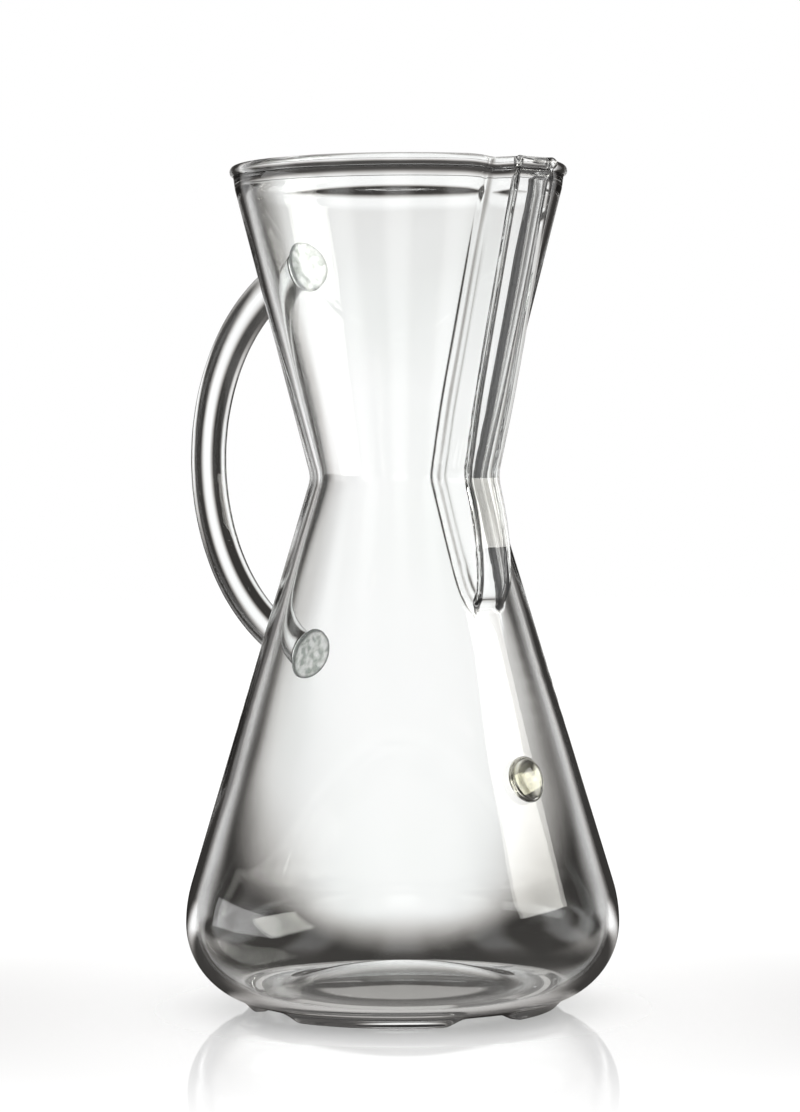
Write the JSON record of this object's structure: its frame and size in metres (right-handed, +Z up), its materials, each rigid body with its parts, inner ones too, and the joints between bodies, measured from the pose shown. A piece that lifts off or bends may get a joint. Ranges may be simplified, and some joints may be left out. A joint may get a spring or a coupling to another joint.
{
  "type": "pour-over coffee maker",
  "caption": "Hourglass pour-over coffee maker of clear blown glass with a pouring channel across the waist, a looped glass handle and a level button",
  "frame": {"origin": "centre of the plane that the four feet rest on, on the vessel's axis", "axes": "+Z up along the vessel's axis, +X towards the pouring channel, -X towards the handle, +Y to the left of someone who looks along +X"},
  "size_m": [0.1333, 0.1086, 0.21],
  "materials": {
    "blown_glass": "clear and smooth",
    "rod_glass": "clear and smooth, solid",
    "fused_glass": "clear with a wavy fused face"
  },
  "bodies": {
    "root": {"vessel": "blown_glass", "handle": "rod_glass", "upper_weld_pad": "fused_glass", "lower_weld_pad": "fused_glass", "level_button": "rod_glass"}
  },
  "joints": []
}
